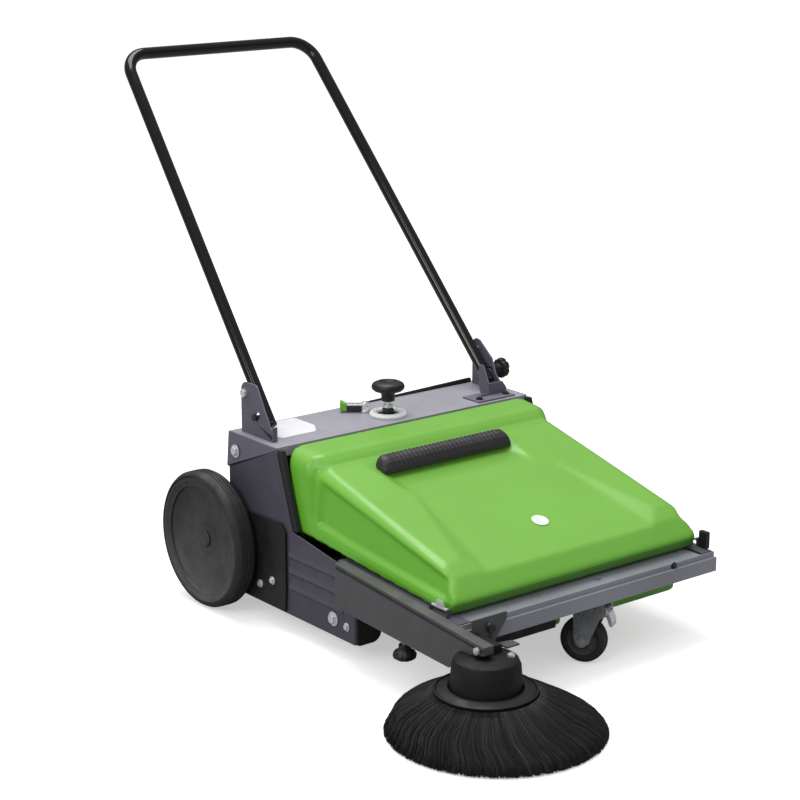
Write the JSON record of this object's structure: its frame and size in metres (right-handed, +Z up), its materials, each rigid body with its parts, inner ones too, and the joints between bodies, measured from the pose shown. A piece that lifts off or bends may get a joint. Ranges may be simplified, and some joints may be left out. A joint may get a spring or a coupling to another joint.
{
  "type": "walk behind sweeper",
  "caption": "Push sweeper with tubular handle, driven wheels, cylinder brush, lift-out waste hopper, swinging side brush and a braked front caster.",
  "frame": {"origin": "middle of the overall box in plan, on the floor", "axes": "+Z up; -Y is the direction the machine is pushed (the front, with the caster); the push handle is towards +Y; the side brush is at the -X front corner"},
  "size_m": [0.807, 1.3508, 0.9575],
  "materials": {
    "panel": "satin textured paint",
    "plate": "satin grey paint",
    "crossbar": "satin paint",
    "arm": "satin paint",
    "hopper": "moulded, slight gloss",
    "black_plastic": "moulded",
    "white_plastic": "satin",
    "brush_core": "moulded",
    "bristle": "stiff filaments",
    "rubber": "matt",
    "tyre": "fine grain",
    "wheel_disc": "moulded",
    "tube": "gloss paint",
    "chrome": "bright",
    "zinc": "zinc plated",
    "dark_steel": "dark"
  },
  "bodies": {
    "chassis": {"side_panel_left": "panel", "side_panel_right": "panel", "top_plate": "plate", "rear_edge_strip": "black_plastic", "rail_left": "panel", "rail_right": "panel", "front_crossbar": "crossbar", "crossbar_end_cap": "black_plastic", "handle_bracket_left": "panel", "handle_bracket_right": "panel", "edge_seal_left": "rubber", "edge_seal_right": "rubber", "skirt_left": "rubber", "skirt_right": "rubber", "drive_cover": "black_plastic", "wheel_axle": "zinc", "panel_bolt_left": "chrome", "skirt_bolt_left": "chrome", "guide_bolt": "dark_steel", "pivot_bolt_left": "chrome", "pivot_bolt_right": "chrome", "height_dial": "white_plastic", "transfer_belt": "rubber"},
    "handle": {"handle_tube": "tube", "clamp_bolt_left": "dark_steel"},
    "clamp_knob_body": {"clamp_knob": "black_plastic"},
    "carrier": {"brush_carrier": "dark_steel", "main_belt": "rubber"},
    "main_brush": {"main_brush_core": "brush_core", "main_brush_bristles": "bristle", "brush_pulley": "dark_steel"},
    "height_setting": {"height_knob": "black_plastic", "height_spindle": "chrome"},
    "lever": {"lock_lever": "chrome", "lock_lever_grip": "hopper"},
    "flap": {"rear_flap": "rubber"},
    "wheel_left": {"tyre_left": "tyre", "wheel_disc_left": "wheel_disc", "wheel_pulley": "dark_steel"},
    "wheel_right": {"tyre_right": "tyre", "wheel_disc_right": "wheel_disc"},
    "hopper_body": {"hopper": "hopper", "hopper_grip": "black_plastic", "hopper_badge": "white_plastic"},
    "latch_left_body": {"latch_left": "chrome"},
    "latch_right_body": {"latch_right": "chrome"},
    "drive_shaft": {"side_drive_shaft": "zinc"},
    "arm": {"brush_arm": "arm", "hanger_plate": "arm", "brush_gearbox": "black_plastic", "gearbox_bolt": "chrome", "arm_bolt": "chrome", "arm_belt": "rubber"},
    "arm_knob_body": {"arm_knob": "black_plastic"},
    "gear_input": {"gearbox_pulley": "dark_steel"},
    "side_brush": {"side_brush_disc": "brush_core", "side_brush_bristles": "bristle"},
    "caster_swivel": {"caster_fork": "zinc"},
    "caster_roller": {"caster_wheel": "tyre"},
    "caster_pedal": {"caster_brake": "chrome"}
  },
  "joints": [
    {"name": "handle_tilt", "type": "hinge", "parent": "chassis", "child": "handle", "pos_m": [0.0575, 0.1936, 0.4], "axis": [1, 0, 0], "range_deg": [-8, 8]},
    {"name": "clamp_knob_turn", "type": "hinge", "parent": "handle", "child": "clamp_knob_body", "pos_m": [0.3505, 0.1606, 0.362], "axis": [1, 0, 0], "range_deg": [-360, 360]},
    {"name": "brush_height_swing", "type": "hinge", "parent": "chassis", "child": "carrier", "pos_m": [0.0575, 0.2526, 0.125], "axis": [-1, 0, 0], "range_deg": [-0.4, 2]},
    {"name": "main_brush_spin", "type": "hinge", "parent": "carrier", "child": "main_brush", "pos_m": [0.0575, 0.0376, 0.092], "axis": [1, 0, 0], "continuous": true},
    {"name": "height_knob_turn", "type": "hinge", "parent": "chassis", "child": "height_setting", "pos_m": [0.0535, 0.1296, 0.36], "axis": [0, 0, 1], "range_deg": [-24, 120]},
    {"name": "lock_lever_turn", "type": "hinge", "parent": "chassis", "child": "lever", "pos_m": [0.0335, 0.1716, 0.335], "axis": [0, 0, -1], "range_deg": [0, 40]},
    {"name": "rear_flap_swing", "type": "hinge", "parent": "chassis", "child": "flap", "pos_m": [0.0575, 0.3071, 0.092], "axis": [1, 0, 0], "range_deg": [-35, 15]},
    {"name": "wheel_left_roll", "type": "hinge", "parent": "chassis", "child": "wheel_left", "pos_m": [-0.2615, 0.2526, 0.125], "axis": [1, 0, 0], "continuous": true},
    {"name": "wheel_right_roll", "type": "hinge", "parent": "chassis", "child": "wheel_right", "pos_m": [0.3765, 0.2526, 0.125], "axis": [1, 0, 0], "continuous": true},
    {"name": "hopper_lift", "type": "slide", "parent": "chassis", "child": "hopper_body", "axis": [0, 0, 1], "range_m": [0, 0.3]},
    {"name": "latch_left_turn", "type": "hinge", "parent": "chassis", "child": "latch_left_body", "pos_m": [-0.2241, -0.3574, 0.1635], "axis": [0, -1, 0], "range_deg": [0, 40]},
    {"name": "latch_right_turn", "type": "hinge", "parent": "chassis", "child": "latch_right_body", "pos_m": [0.3391, -0.3574, 0.1635], "axis": [0, 1, 0], "range_deg": [0, 40]},
    {"name": "drive_shaft_spin", "type": "hinge", "parent": "chassis", "child": "drive_shaft", "pos_m": [-0.2325, -0.1674, 0.138], "axis": [1, 0, 0], "continuous": true},
    {"name": "side_arm_swing", "type": "hinge", "parent": "chassis", "child": "arm", "pos_m": [-0.2445, -0.1674, 0.138], "axis": [-1, 0, 0], "range_deg": [-0.8, 3.5]},
    {"name": "arm_knob_turn", "type": "hinge", "parent": "arm", "child": "arm_knob_body", "pos_m": [-0.2445, -0.2924, 0.07], "axis": [0, 0, 1], "range_deg": [-360, 360]},
    {"name": "gear_input_spin", "type": "hinge", "parent": "arm", "child": "gear_input", "pos_m": [-0.2425, -0.4394, 0.126], "axis": [1, 0, 0], "continuous": true},
    {"name": "side_brush_spin", "type": "hinge", "parent": "arm", "child": "side_brush", "pos_m": [-0.2395, -0.4884, 0.05], "axis": [0, 0, 1], "continuous": true},
    {"name": "caster_swivel_turn", "type": "hinge", "parent": "chassis", "child": "caster_swivel", "pos_m": [0.0915, -0.3874, 0.12], "axis": [0, 0, 1], "continuous": true},
    {"name": "caster_roll", "type": "hinge", "parent": "caster_swivel", "child": "caster_roller", "pos_m": [0.08164, -0.36886, 0.04], "axis": [0.8829, 0.4695, 0], "continuous": true},
    {"name": "caster_pedal_press", "type": "hinge", "parent": "caster_swivel", "child": "caster_pedal", "pos_m": [0.09995, -0.40329, 0.096], "axis": [0.8829, 0.4695, 0], "range_deg": [0, 25]}
  ],
  "couplings": [
    {"joint": "wheel_left_roll", "follows": "main_brush_spin", "ratio": -0.42857},
    {"joint": "drive_shaft_spin", "follows": "main_brush_spin", "ratio": -1.102},
    {"joint": "gear_input_spin", "follows": "main_brush_spin", "ratio": -1.4026},
    {"joint": "side_brush_spin", "follows": "main_brush_spin", "ratio": -0.46753},
    {"joint": "height_knob_turn", "follows": "brush_height_swing", "ratio": 60}
  ]
}
